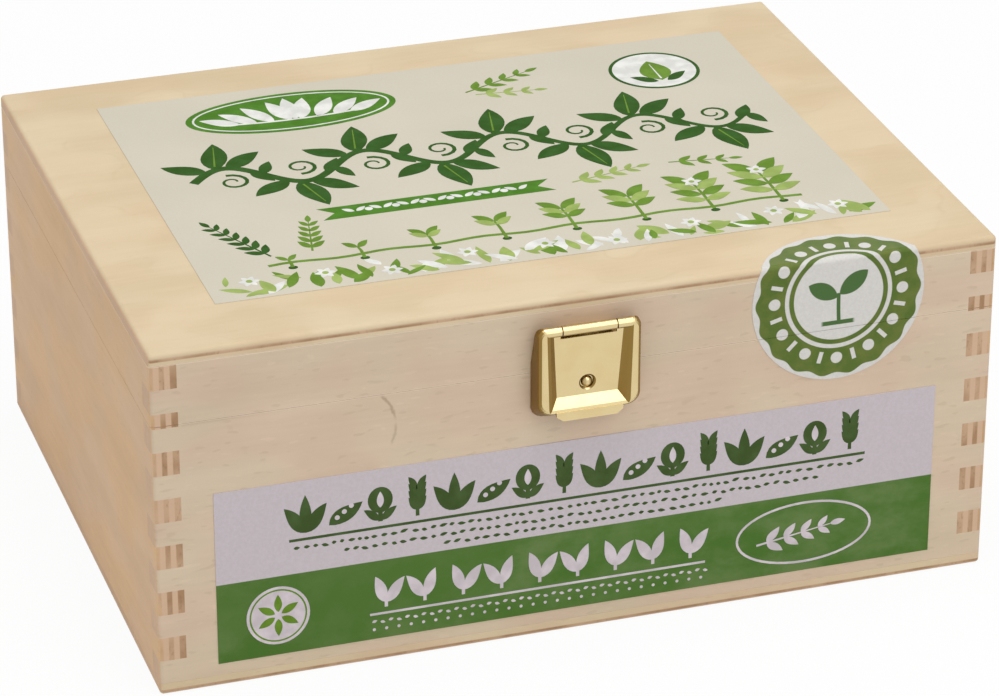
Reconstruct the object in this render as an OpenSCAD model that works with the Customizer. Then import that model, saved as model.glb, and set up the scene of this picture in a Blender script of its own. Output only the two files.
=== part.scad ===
// Wooden seed box with a hinged lid, finger-jointed plywood walls and a pressed brass clasp.
// Millimetres, +Z up. The origin is the centre of the underside, and the front faces -Y.
// The carcass is glued up as one closed blank, then the lid is sawn off it. The saw takes a kerf
// out of one row of fingers, and that is why the row at the parting line is shorter than the rest.

/* [Box] */
// Width over the side walls
box_w = 205; // [190:1:280]
// Depth over the front and back walls
box_d = 154.5; // [140:0.5:220]
// Thickness of the four walls
wall_t = 6.5; // [5:0.5:9]
// Thickness of the top and bottom panels
panel_t = 3; // [2.5:0.5:5]
// Rounding of the outer edges
edge_r = 1; // [0.6:0.1:2]
// Rounding of the panels' edges next to the walls
seam_r = 0.15; // [0.1:0.05:0.6]

/* [Finger joints] */
// Height of one finger
finger_h = 6; // [6:0.5:8]
// Pairs of fingers in the uncut blank, each a front finger and a side finger
finger_pairs = 7; // [7:1:9]

/* [Lid cut] */
// Height of the lid's walls under the top panel
lid_wall_h = 15.1; // [14:0.1:19]
// Wood that the saw took out between lid and base
saw_kerf = 2.4; // [1:0.1:4]
// Gap at the parting line with the lid closed
parting_gap = 0.1; // [0.05:0.05:0.3]

/* [Labels] */
// Thickness of the paper labels and the seal
paper_t = 0.15; // [0.1:0.05:0.3]
// Width of the label on the lid
top_label_w = 165.5; // [100:0.5:175]
// Depth of the label on the lid
top_label_d = 117; // [60:0.5:125]
// Shift of the lid's label to the right
top_label_x = 1.25; // [-5:0.25:5]
// Shift of the lid's label to the back
top_label_y = 1.95; // [-2:0.05:4]
// Width of the front label
front_label_w = 177; // [120:1:180]
// Height of the front label
front_label_h = 44.6; // [30:0.1:46]
// Height of the front label's lower edge above the ground
front_label_z = 6; // [4:0.5:7]
// Radius of the round seal
seal_r = 21.5; // [19:0.5:23]
// Distance of the seal's centre from the box's right side
seal_side = 39.7; // [30:0.1:45]
// Distance of the seal's centre below the top
seal_drop = 9.7; // [6:0.1:12]

/* [Back hinges] */
// Width of one hinge
hinge_w = 20; // [14:1:30]
// Distance between the middles of the two hinges
hinge_span = 124; // [80:1:140]
// Reach of one leaf from the pin's axis
leaf_h = 9; // [8:0.5:12]
// Thickness of a leaf
leaf_t = 0.8; // [0.6:0.1:1]
// Outer radius of the knuckles
knuckle_r = 1.6; // [1.5:0.1:2]
// Radius of the hinge pin
hinge_pin_r = 0.8; // [0.6:0.05:0.9]
// Radius of the hinge pin's riveted ends
pin_end_r = 1.1; // [1:0.05:1.3]
// Height of the hinge pin's riveted ends
pin_end_h = 0.5; // [0.3:0.05:0.6]
// Gap between neighbouring knuckles
knuckle_gap = 0.3; // [0.2:0.05:0.5]
// Gap between the knuckles and the wood
hinge_wood_gap = 0.05; // [0.03:0.01:0.2]

/* [Clasp plate and flap] */
// Width of the flap across its rim
flap_w = 25; // [22:0.5:30]
// Reach of the flap from its pin down to the rim's lower edge
flap_drop = 21; // [19:0.5:23]
// How far the rim stands off the wood
flap_proud = 5; // [4.8:0.1:6]
// Thickness of the brass sheet
sheet_t = 0.6; // [0.5:0.05:0.7]
// Width of the rolled rim
rim_w = 2.5; // [2.3:0.1:3.2]
// Radius of the rim's outer bend and of the knuckles in it
barrel_r = 1.2; // [1.1:0.05:1.4]
// Radius of the flap's upper corners
flap_corner_r = 2; // [1.6:0.1:2.4]
// Width of the rounded corners at the flap's lower end
low_corner_w = 3.4; // [2.5:0.1:4]
// Height of the rounded corners at the flap's lower end
low_corner_h = 2.9; // [1.5:0.1:3.2]
// Sideways lean of the skirt between rim and wood
skirt_lean = 0.4; // [0:0.1:0.8]
// Downward lean of the skirt between rim and wood
skirt_fall = 2; // [1:0.1:2.5]
// Gap between the skirt and the wood
skirt_gap = 0.35; // [0.3:0.05:0.6]
// Reach from the pin down to where the skirt has its full depth
skirt_full = 10; // [7:0.5:14]
// Depth of the pressed floor below the rim, next to the pin
floor_top_depth = 1.3; // [1:0.1:1.6]
// Depth of the pressed floor below the rim, at its lower end
floor_low_depth = 2.1; // [1.7:0.1:2.2]
// Run of the pressed floor's sloping side, next to the pin
floor_top_run = 1.5; // [0.8:0.1:1.5]
// Run of the pressed floor's sloping side, at its lower end
floor_low_run = 2; // [1.2:0.1:2.4]
// Run of the slope that ends the pressed floor
floor_end_run = 2.9; // [1.5:0.1:3.5]
// How much the pressed floor narrows on each side towards its lower end
floor_taper = 0.6; // [0:0.1:1]
// Strip between the pressed floor and the rim's lower edge
floor_end_strip = 0.7; // [0.65:0.05:1]
// Softened edge of the pressed floor
floor_soft = 0.45; // [0.42:0.03:0.45]
// Height of the flap's pin above the parting line
flap_axis_h = 11.55; // [11.5:0.05:12.4]
// Radius of the flap's pin
flap_pin_r = 0.55; // [0.4:0.05:0.65]
// Brass left over each end of the flap's pin
flap_pin_cover = 1.1; // [0.9:0.1:1.5]
// Width of the plate's knuckle, in the middle of the flap's top bar
mid_knuckle_w = 13; // [9:0.5:15]
// Opening in the flap below that knuckle
knuckle_slot = 0.9; // [0.4:0.1:1.2]
// Width of the plate that is nailed to the lid
plate_w = 19; // [17:0.5:20]
// Height of the plate that is nailed to the lid
plate_h = 7; // [5.5:0.5:7.5]
// Distance from the flap's pin down to that plate
neck_drop = 3.4; // [3:0.1:3.8]
// Length of the finger lip below the rim
lip_h = 1.4; // [1:0.1:3]
// Width of the finger lip where it leaves the rim
lip_w = 16.2; // [12:0.1:17]
// How much the finger lip narrows on each side
lip_taper = 1.6; // [0.5:0.1:3]
// How far the finger lip curls outwards
lip_curl = 0.35; // [0:0.05:0.8]

/* [Clasp catch] */
// Width of the catch plate that is nailed to the base
catch_w = 14.8; // [13:0.2:15]
// Height of the catch plate
catch_h = 8.7; // [7.6:0.1:9]
// Distance from the parting line down to the catch plate
catch_drop = 0.4; // [0.2:0.1:0.8]
// Thickness of the spring strip
spring_t = 0.4; // [0.3:0.05:0.5]
// Height of the spring's nailed foot
foot_h = 3; // [2.8:0.1:3.4]
// Edge of the catch plate that the foot leaves bare
foot_inset = 0.3; // [0.2:0.05:0.5]
// Width of the spring's tongue
tongue_w = 7; // [5:0.5:8]
// Radius of the domed stud on the tongue
stud_r = 1.4; // [1:0.05:1.5]
// Distance from the parting line down to the stud
stud_drop = 2.8; // [2:0.1:3]
// Flat strip of the tongue around the stud
stud_land = 0.3; // [0.2:0.05:0.4]
// Gap between the tongue and the flap's floor in front of it
tongue_gap = 0.25; // [0.2:0.05:0.4]
// Clearance between the stud and the hole in the flap
stud_clearance = 0.25; // [0.2:0.05:0.4]
// How much wider the dished edge of the flap's hole is than the hole
dish_w = 0.4; // [0.3:0.1:0.8]
// Depth of the dished edge
dish_depth = 0.4; // [0.2:0.05:0.45]

/* [Nails and fits] */
// Radius of the nails' shanks
nail_r = 0.6; // [0.4:0.05:0.7]
// Radius of the nails' heads
nail_head_r = 1.3; // [1:0.05:1.4]
// Height of the nails' domed heads
nail_head_h = 0.5; // [0.3:0.05:0.5]
// Distance of the clasp's nails from the ends of plate and catch
nail_inset = 2; // [1.8:0.1:2.4]
// Wood left behind a nail's point
nail_cover = 1.5; // [1:0.25:3]
// Clearance around a nail
nail_fit = 0.02; // [0.01:0.01:0.05]
// Radial clearance of a knuckle on its pin
pin_fit = 0.05; // [0.02:0.01:0.08]

/* [Hidden] */
$fn = 48;

// Cuts run past the faces they open by this much
over = 1;
// Thickness of the slices that a hull is spanned between
slice = 0.01;

blank_h = 2 * finger_pairs * finger_h;
base_wall_h = blank_h - saw_kerf - lid_wall_h;
parting_z = panel_t + base_wall_h;
lid_z = parting_z + parting_gap;
panel_z = lid_z + lid_wall_h;
box_h = panel_z + panel_t;

knuckle_w = (hinge_w - 2 * knuckle_gap) / 3;
leaf_nail_x = hinge_w / 2 - knuckle_w / 2;
leaf_nail_reach = (leaf_h + knuckle_r + knuckle_gap) / 2;

axis_p = flap_proud - barrel_r;
flap_z = parting_z + flap_axis_h;
floor_top_p = flap_proud - floor_top_depth;
floor_low_p = flap_proud - floor_low_depth;
open_low_v = -flap_drop + floor_end_strip;
floor_low_v = open_low_v + floor_end_run;
open_half = flap_w / 2 - rim_w;
open_low_half = open_half - floor_taper;
stud_v = -flap_axis_h - stud_drop;
stud_floor_p = floor_top_p - (floor_top_p - floor_low_p) * stud_v / floor_low_v;
notch_half = mid_knuckle_w / 2 + knuckle_gap;
pin_half = flap_w / 2 - flap_pin_cover;
// The neck rises from the plate's upper edge at this angle, so that it just touches the knuckle
neck_angle = atan2(axis_p, neck_drop) - asin(barrel_r / norm([neck_drop, axis_p]));
neck_reach = norm([neck_drop, axis_p]) * cos(asin(barrel_r / norm([neck_drop, axis_p])));
plate_low_v = -neck_drop - plate_h;
plate_nail_x = plate_w / 2 - nail_inset;
plate_nail_v = plate_low_v + plate_h / 2;
catch_top_v = -flap_axis_h - catch_drop;
catch_low_v = catch_top_v - catch_h;
foot_low_v = catch_low_v + foot_inset;
catch_nail_x = catch_w / 2 - nail_inset;
catch_nail_v = foot_low_v + foot_h / 2;
tongue_p = stud_floor_p - sheet_t - tongue_gap - spring_t;
tongue_top_v = stud_v + stud_r + stud_land;
tongue_flat_v = stud_v - stud_r - stud_land;

seal_x = box_w / 2 - seal_side;
seal_z = box_h - seal_drop;

// Outline of the box seen from above, with its corners rounded
module box_outline(r = edge_r) {
    square([box_w - 2 * r, box_d], center = true);
    square([box_w, box_d - 2 * r], center = true);
    for (x = [-1, 1], y = [-1, 1])
        translate([x * (box_w / 2 - r), y * (box_d / 2 - r)]) circle(r);
}

// Section of a panel's edge: upper and lower corners rounded by their own radii
module panel_edge(top_r, low_r) {
    difference() {
        square([edge_r, panel_t]);
        translate([edge_r - top_r, panel_t - top_r]) difference() {
            square(top_r + over);
            circle(top_r);
        }
        translate([edge_r - low_r, low_r]) difference() {
            translate([0, -low_r - over]) square(low_r + over);
            circle(low_r);
        }
    }
}

// Panel over the whole footprint, its edge section run along four sides and round four corners
module panel(top_r, low_r) {
    core_w = box_w - 2 * edge_r;
    core_d = box_d - 2 * edge_r;
    translate([-core_w / 2, -core_d / 2, 0]) cube([core_w, core_d, panel_t]);
    for (side = [0, 1]) rotate(180 * side) {
        translate([core_w / 2, core_d / 2, 0]) rotate([90, 0, 0])
            linear_extrude(core_d) panel_edge(top_r, low_r);
        translate([-core_w / 2, core_d / 2, 0]) rotate([90, 0, 90])
            linear_extrude(core_w) panel_edge(top_r, low_r);
        translate([core_w / 2, core_d / 2, 0])
            rotate_extrude(angle = 90) panel_edge(top_r, low_r);
        translate([-core_w / 2, core_d / 2, 0]) rotate(90)
            rotate_extrude(angle = 90) panel_edge(top_r, low_r);
    }
}

// Slots for the other wall's fingers at both ends of a blank wall that runs along X
module finger_slots(length, first) {
    for (k = [0 : finger_pairs - 1], end = [-1, 1])
        translate([end * length / 2, 0, (2 * k + first + 0.5) * finger_h])
            cube([2 * wall_t, 2 * wall_t + 2 * over, finger_h], center = true);
}

// Uncut front or back wall, standing on z = 0. Its fingers start at the bottom.
module front_blank(side) {
    intersection() {
        linear_extrude(blank_h) box_outline();
        translate([0, side * (box_d - wall_t) / 2, 0]) difference() {
            translate([-box_w / 2 - over, -wall_t / 2, 0])
                cube([box_w + 2 * over, wall_t, blank_h]);
            finger_slots(box_w, 1);
        }
    }
}

// Uncut side wall, standing on z = 0. Its fingers start one finger higher.
module side_blank(side) {
    intersection() {
        linear_extrude(blank_h) box_outline();
        translate([side * (box_w - wall_t) / 2, 0, 0]) rotate(90) difference() {
            translate([-box_d / 2 - over, -wall_t / 2, 0])
                cube([box_d + 2 * over, wall_t, blank_h]);
            finger_slots(box_d, 0);
        }
    }
}

// The part of a blank wall that stays on the base
module base_part() {
    translate([0, 0, panel_t]) intersection() {
        children();
        translate([-box_w, -box_d, 0]) cube([2 * box_w, 2 * box_d, base_wall_h]);
    }
}

// The part of a blank wall that goes with the lid
module lid_part() {
    cut = base_wall_h + saw_kerf;
    translate([0, 0, lid_z - cut]) intersection() {
        children();
        translate([-box_w, -box_d, cut]) cube([2 * box_w, 2 * box_d, lid_wall_h]);
    }
}

// Places things on the front wall: x to the right, y up from the flap's pin, z out of the wood
module on_front() {
    translate([0, -box_d / 2, flap_z]) rotate([90, 0, 0]) children();
}

// Places things on the back wall at each hinge: y up from the hinge pin, z out of the wood
module on_back() {
    for (side = [-1, 1])
        translate([side * hinge_span / 2, box_d / 2, parting_z])
            rotate([90, 0, 180]) children();
}

// Extrudes a section drawn as height and stand-off across the clasp or a hinge
module across(width) {
    rotate([90, 0, 90]) linear_extrude(width, center = true) children();
}

// Low dome: the top of a sphere that is r wide and h high at its foot
module dome(r, h) {
    sphere_r = (r * r + h * h) / (2 * h);
    intersection() {
        translate([0, 0, h - sphere_r]) sphere(sphere_r);
        cylinder(r = r, h = h);
    }
}

// Round nail with a domed head that sits on sheet of thickness t, its point short of the far face
module nail(t) {
    point_h = 2 * nail_r;
    depth = wall_t - nail_cover;
    translate([0, 0, t]) dome(nail_head_r, nail_head_h);
    translate([0, 0, point_h - depth]) cylinder(r = nail_r, h = depth - point_h + t);
    translate([0, 0, -depth]) cylinder(r1 = nail_r / 4, r2 = nail_r, h = point_h);
}

// Hole that a nail leaves in wood and sheet
module nail_hole() {
    depth = wall_t - nail_cover + nail_fit;
    translate([0, 0, -depth]) cylinder(r = nail_r + nail_fit, h = depth + 2 * over);
}

module at_leaf_nails(up) {
    for (x = [-1, 1]) translate([x * leaf_nail_x, up * leaf_nail_reach, 0]) children();
}

module at_plate_nails() {
    for (x = [-1, 1]) translate([x * plate_nail_x, plate_nail_v, 0]) children();
}

module at_catch_nails() {
    for (x = [-1, 1]) translate([x * catch_nail_x, catch_nail_v, 0]) children();
}

module bottom_panel() {
    color("burlywood") panel(seam_r, edge_r);
}

module base_front() {
    color("burlywood") difference() {
        base_part() front_blank(-1);
        on_front() at_catch_nails() nail_hole();
    }
}

module base_back() {
    color("burlywood") difference() {
        base_part() front_blank(1);
        on_back() at_leaf_nails(-1) nail_hole();
    }
}

module base_left() {
    color("tan") base_part() side_blank(-1);
}

module base_right() {
    color("tan") base_part() side_blank(1);
}

module lid_panel() {
    color("wheat") translate([0, 0, panel_z]) panel(edge_r, seam_r);
}

module lid_front() {
    color("burlywood") difference() {
        lid_part() front_blank(-1);
        on_front() at_plate_nails() nail_hole();
    }
}

module lid_back() {
    color("burlywood") difference() {
        lid_part() front_blank(1);
        on_back() at_leaf_nails(1) nail_hole();
    }
}

module lid_left() {
    color("tan") lid_part() side_blank(-1);
}

module lid_right() {
    color("tan") lid_part() side_blank(1);
}

// Leaf of a back hinge, rolled round the pin in the given knuckles. up is 1 for the lid's leaf.
module leaf(up, knuckles) {
    axis_out = hinge_wood_gap + knuckle_r;
    clear_r = knuckle_r + knuckle_gap;
    pitch = knuckle_w + knuckle_gap;
    difference() {
        union() {
            translate([-hinge_w / 2, up > 0 ? clear_r : -leaf_h, 0])
                cube([hinge_w, leaf_h - clear_r, leaf_t]);
            for (k = knuckles) translate([k * pitch, 0, 0]) {
                translate([-knuckle_w / 2, up > 0 ? 0 : -clear_r - over, 0])
                    cube([knuckle_w, clear_r + over, leaf_t]);
                translate([0, 0, axis_out]) across(knuckle_w) circle(knuckle_r);
            }
        }
        translate([0, 0, axis_out]) across(hinge_w + 2 * over) circle(hinge_pin_r + pin_fit);
        at_leaf_nails(up) nail_hole();
    }
}

module hinge_base_leaves() {
    color("goldenrod") on_back() leaf(-1, [0]);
}

module hinge_lid_leaves() {
    color("goldenrod") on_back() leaf(1, [-1, 1]);
}

// Pin that is riveted over into a low dome on either side of the hinge
module hinge_pins() {
    color("darkgoldenrod") on_back() translate([0, 0, hinge_wood_gap + knuckle_r]) {
        across(hinge_w + 2 * pin_fit) circle(hinge_pin_r);
        for (side = [-1, 1]) rotate([0, side * 90, 0])
            translate([0, 0, hinge_w / 2 + pin_fit]) dome(pin_end_r, pin_end_h);
    }
}

module hinge_base_nails() {
    color("darkgoldenrod") on_back() at_leaf_nails(-1) nail(leaf_t);
}

module hinge_lid_nails() {
    color("darkgoldenrod") on_back() at_leaf_nails(1) nail(leaf_t);
}

// Plate on the lid: a nailed flange, a neck that slopes out and a knuckle rolled round the pin
module clasp_plate() {
    color("gold") on_front() difference() {
        union() {
            translate([-plate_w / 2, plate_low_v, 0]) cube([plate_w, plate_h, sheet_t]);
            across(mid_knuckle_w) {
                translate([-neck_drop, 0]) rotate(neck_angle) square([neck_reach, sheet_t]);
                translate([0, axis_p]) circle(barrel_r);
            }
        }
        translate([0, 0, axis_p]) across(mid_knuckle_w + 2 * over)
            circle(flap_pin_r + pin_fit);
        at_plate_nails() nail_hole();
    }
}

module clasp_pin() {
    color("darkgoldenrod") on_front() translate([0, 0, axis_p])
        across(2 * (pin_half - pin_fit)) circle(flap_pin_r);
}

// Front outline of the flap, drawn in from the rim by inset and leaned out by a share of the skirt
function flap_outline(inset, lean) =
    let (half = flap_w / 2 + lean * skirt_lean - inset,
         low = -flap_drop - lean * skirt_fall + inset,
         r = flap_corner_r - inset / 2,
         top = barrel_r - inset,
         steps = 6)
    concat(
        [for (i = [0 : steps]) [half - r + r * sin(90 * i / steps),
                                top - r + r * cos(90 * i / steps)]],
        [for (i = [0 : steps]) [half - low_corner_w * (1 - cos(90 * i / steps)),
                                low + low_corner_h * (1 - sin(90 * i / steps))]],
        [for (i = [0 : steps]) [-half + low_corner_w * (1 - sin(90 * i / steps)),
                                low + low_corner_h * (1 - cos(90 * i / steps))]],
        [for (i = [0 : steps]) [-half + r - r * cos(90 * i / steps),
                                top - r + r * sin(90 * i / steps)]]
    );

// Outer form of the flap: leaning skirt and rolled rim, everything drawn in by inset
module flap_form(inset) {
    steps = 5;
    hull() {
        translate([0, 0, skirt_gap - (inset > 0 ? over : 0)])
            linear_extrude(slice) polygon(flap_outline(inset, 1));
        for (i = [0 : steps]) {
            a = 90 * i / steps;
            translate([0, 0, flap_proud - inset - slice - barrel_r * (1 - sin(a))])
                linear_extrude(slice) polygon(flap_outline(inset + barrel_r * (1 - cos(a)), 0));
        }
    }
}

// Bar from side to side, for the corners of the pressed floor
module floor_bar(half, v, p) {
    translate([-half, v, p]) cube([2 * half, slice, slice]);
}

// Hollow of the pressed floor. grow makes the same form one sheet larger.
module floor_form(grow) {
    rise = grow > 0 ? 0 : over;
    hull() {
        floor_bar(open_half - floor_top_run + grow, 0, floor_top_p - grow);
        floor_bar(open_low_half - floor_low_run + grow, floor_low_v - grow, floor_low_p - grow);
        floor_bar(open_half + grow, 0, flap_proud - slice);
        floor_bar(open_low_half + grow, open_low_v - grow, flap_proud - slice);
        floor_bar(open_half + grow, 0, flap_proud + rise);
        floor_bar(open_low_half + grow, open_low_v - grow, flap_proud + rise);
    }
}

// Soft edge where the rim turns down into the pressed floor
module floor_edge() {
    hull() {
        floor_bar(open_half - floor_soft * floor_top_run / floor_top_depth, 0,
                  flap_proud - floor_soft);
        floor_bar(open_low_half - floor_soft * floor_low_run / floor_low_depth,
                  open_low_v + floor_soft * floor_end_run / floor_low_depth,
                  flap_proud - floor_soft);
        floor_bar(open_half + floor_soft, 0, flap_proud);
        floor_bar(open_low_half + floor_soft, open_low_v - floor_soft, flap_proud);
    }
}

// Room behind the pin that lets the flap swing up: the skirts get shallower towards the pin
module swing_relief() {
    across(2 * flap_w) difference() {
        polygon([
            [-skirt_full, -over],
            [-skirt_full, 0],
            [0, axis_p - barrel_r],
            [0, axis_p],
            [barrel_r + over, axis_p],
            [barrel_r + over, -over]
        ]);
        translate([0, axis_p]) circle(barrel_r);
    }
}

// Finger lip: a tapering tab that curls outwards below the rim
module finger_lip() {
    tip_v = -flap_drop - lip_h;
    low_p = flap_proud - sheet_t;
    intersection() {
        across(flap_w) polygon([
            [open_low_v, low_p],
            [open_low_v, flap_proud],
            [(open_low_v + tip_v) / 2, flap_proud + lip_curl / 4],
            [tip_v, flap_proud + lip_curl],
            [tip_v, low_p + lip_curl],
            [(open_low_v + tip_v) / 2, low_p + lip_curl / 4]
        ]);
        linear_extrude(2 * flap_proud) polygon([
            [-lip_w / 2, open_low_v + over],
            [lip_w / 2, open_low_v + over],
            [lip_w / 2, -flap_drop - lip_h / 4],
            [lip_w / 2 - lip_taper, tip_v],
            [-lip_w / 2 + lip_taper, tip_v],
            [-lip_w / 2, -flap_drop - lip_h / 4]
        ]);
    }
}

// The flap: a tray pressed from sheet, hinged at its top bar and open below for the catch
module clasp_flap() {
    color("gold") on_front() difference() {
        union() {
            difference() {
                flap_form(0);
                floor_form(0);
                floor_edge();
                difference() {
                    flap_form(sheet_t);
                    floor_form(sheet_t);
                }
                translate([-lip_w / 2, -flap_drop - skirt_fall - over, -over])
                    cube([lip_w, skirt_fall + over + floor_end_strip,
                          flap_proud - sheet_t + over]);
            }
            intersection() {
                flap_form(0);
                for (side = [-1, 1])
                    translate([side * (notch_half + flap_w / 2) / 2, 0, axis_p])
                        across(flap_w / 2 - notch_half) circle(barrel_r);
            }
            finger_lip();
        }
        swing_relief();
        translate([-notch_half, -barrel_r - knuckle_slot, -over])
            cube([2 * notch_half, 3 * barrel_r + knuckle_slot, flap_proud + 2 * over]);
        translate([0, 0, axis_p]) across(2 * pin_half) circle(flap_pin_r + pin_fit);
        translate([0, stud_v, 0]) cylinder(r = stud_r + stud_clearance, h = flap_proud);
        translate([0, stud_v, stud_floor_p - dish_depth])
            cylinder(r1 = stud_r + stud_clearance, r2 = stud_r + stud_clearance + 2 * dish_w,
                     h = 2 * dish_depth);
    }
}

module clasp_plate_nails() {
    color("darkgoldenrod") on_front() at_plate_nails() nail(sheet_t);
}

module catch_plate() {
    color("gold") on_front() difference() {
        translate([-catch_w / 2, catch_low_v, 0]) cube([catch_w, catch_h, sheet_t]);
        at_catch_nails() nail_hole();
    }
}

// Spring strip: a nailed foot, a sloping leg and a tongue with the domed stud
module catch_spring() {
    foot_top_v = foot_low_v + foot_h;
    color("goldenrod") on_front() difference() {
        union() {
            translate([-catch_w / 2 + foot_inset, foot_low_v, sheet_t])
                cube([catch_w - 2 * foot_inset, foot_h, spring_t]);
            across(tongue_w) polygon([
                [foot_top_v - over, sheet_t],
                [foot_top_v, sheet_t],
                [tongue_flat_v, tongue_p],
                [tongue_top_v, tongue_p],
                [tongue_top_v, tongue_p + spring_t],
                [tongue_flat_v - spring_t / 4, tongue_p + spring_t],
                [foot_top_v - spring_t / 4, sheet_t + spring_t],
                [foot_top_v - over, sheet_t + spring_t]
            ]);
            translate([0, stud_v, tongue_p + spring_t / 2]) intersection() {
                sphere(stud_r);
                cylinder(r = stud_r, h = stud_r);
            }
        }
        at_catch_nails() nail_hole();
    }
}

module catch_nails() {
    color("darkgoldenrod") on_front() at_catch_nails() nail(sheet_t + spring_t);
}

module top_label() {
    color("beige")
        translate([top_label_x - top_label_w / 2, top_label_y - top_label_d / 2, box_h])
            cube([top_label_w, top_label_d, paper_t]);
}

module front_label() {
    color("thistle") translate([-front_label_w / 2, -box_d / 2 - paper_t, front_label_z])
        cube([front_label_w, paper_t, front_label_h]);
}

// Paper that lies on the front, bends round the lid's upper edge and runs on over the top
module bent_paper() {
    reach = 2 * seal_r;
    translate([seal_x, 0, 0]) {
        translate([-seal_r, -box_d / 2 - paper_t, box_h - edge_r - reach])
            cube([reach, paper_t, reach]);
        translate([-seal_r, -box_d / 2 + edge_r, box_h]) cube([reach, reach, paper_t]);
        translate([-seal_r, -box_d / 2 + edge_r, box_h - edge_r]) rotate([90, 0, 90])
            linear_extrude(reach) intersection() {
                difference() {
                    circle(edge_r + paper_t);
                    circle(edge_r);
                }
                translate([-edge_r - over, 0]) square(edge_r + over);
            }
    }
}

// The seal's round outline, carried over the edge. The bend takes up bend_slack of its length.
module seal_cutter() {
    bend_slack = edge_r * (PI / 2 - 1);
    front_y = -box_d / 2 + edge_r;
    translate([seal_x, front_y, seal_z]) rotate([90, 0, 0])
        cylinder(r = seal_r, h = edge_r + over);
    intersection() {
        translate([seal_x, -box_d / 2 - seal_drop + bend_slack, box_h - edge_r])
            cylinder(r = seal_r, h = edge_r + over);
        translate([seal_x - 2 * seal_r, front_y, 0])
            cube([4 * seal_r, 4 * seal_r, 2 * box_h]);
    }
}

module seal_upper() {
    color("forestgreen") intersection() {
        bent_paper();
        seal_cutter();
        translate([0, -box_d, lid_z]) cube([box_w, 2 * box_d, box_h]);
    }
}

module seal_lower() {
    color("forestgreen") intersection() {
        bent_paper();
        seal_cutter();
        translate([0, -box_d, 0]) cube([box_w, 2 * box_d, parting_z]);
    }
}

bottom_panel();
base_front();
base_back();
base_left();
base_right();
lid_panel();
lid_front();
lid_back();
lid_left();
lid_right();
hinge_base_leaves();
hinge_lid_leaves();
hinge_pins();
hinge_base_nails();
hinge_lid_nails();
clasp_plate();
clasp_pin();
clasp_flap();
clasp_plate_nails();
catch_plate();
catch_spring();
catch_nails();
top_label();
front_label();
seal_upper();
seal_lower();
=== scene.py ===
# Looks of the wooden seed box: plywood, brass, printed paper, studio light and the camera.
import math
import random

import bmesh
import bpy
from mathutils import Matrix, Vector


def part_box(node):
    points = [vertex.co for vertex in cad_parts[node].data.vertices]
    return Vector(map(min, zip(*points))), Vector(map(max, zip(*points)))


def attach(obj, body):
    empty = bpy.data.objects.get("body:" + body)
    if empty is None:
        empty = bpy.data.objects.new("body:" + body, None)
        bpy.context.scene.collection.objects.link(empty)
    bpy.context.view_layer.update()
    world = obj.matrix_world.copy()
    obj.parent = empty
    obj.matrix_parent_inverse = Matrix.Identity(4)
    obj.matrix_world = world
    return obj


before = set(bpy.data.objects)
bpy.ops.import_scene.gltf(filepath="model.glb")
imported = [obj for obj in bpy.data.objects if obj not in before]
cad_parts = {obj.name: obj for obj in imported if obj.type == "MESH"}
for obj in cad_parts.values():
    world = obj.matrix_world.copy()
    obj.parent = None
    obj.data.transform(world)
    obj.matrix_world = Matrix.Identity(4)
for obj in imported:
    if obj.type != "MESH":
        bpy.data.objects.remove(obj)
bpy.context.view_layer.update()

MM = 0.001
X, Y, Z = 0, 1, 2

panel_low, panel_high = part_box("lid_panel")
wall_low, wall_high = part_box("base_front")
label_low, label_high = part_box("top_label")
front_low, front_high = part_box("front_label")
seal_low, seal_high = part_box("seal_upper")

half_w = panel_high.x
half_d = panel_high.y
wall_t = wall_high.y - wall_low.y
panel_t = panel_high.z - panel_low.z
box_h = panel_high.z


class Field:
    """A number that varies over a surface: a shader output that can be used in arithmetic."""

    def __init__(self, nodes, socket):
        self.nodes = nodes
        self.socket = socket

    def __add__(self, other):
        return self.nodes.math("ADD", self, other)

    def __radd__(self, other):
        return self.nodes.math("ADD", other, self)

    def __sub__(self, other):
        return self.nodes.math("SUBTRACT", self, other)

    def __rsub__(self, other):
        return self.nodes.math("SUBTRACT", other, self)

    def __mul__(self, other):
        return self.nodes.math("MULTIPLY", self, other)

    def __rmul__(self, other):
        return self.nodes.math("MULTIPLY", other, self)

    def __truediv__(self, other):
        return self.nodes.math("DIVIDE", self, other)

    def __pow__(self, other):
        return self.nodes.math("POWER", self, other)

    def __abs__(self):
        return self.nodes.math("ABSOLUTE", self)


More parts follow.
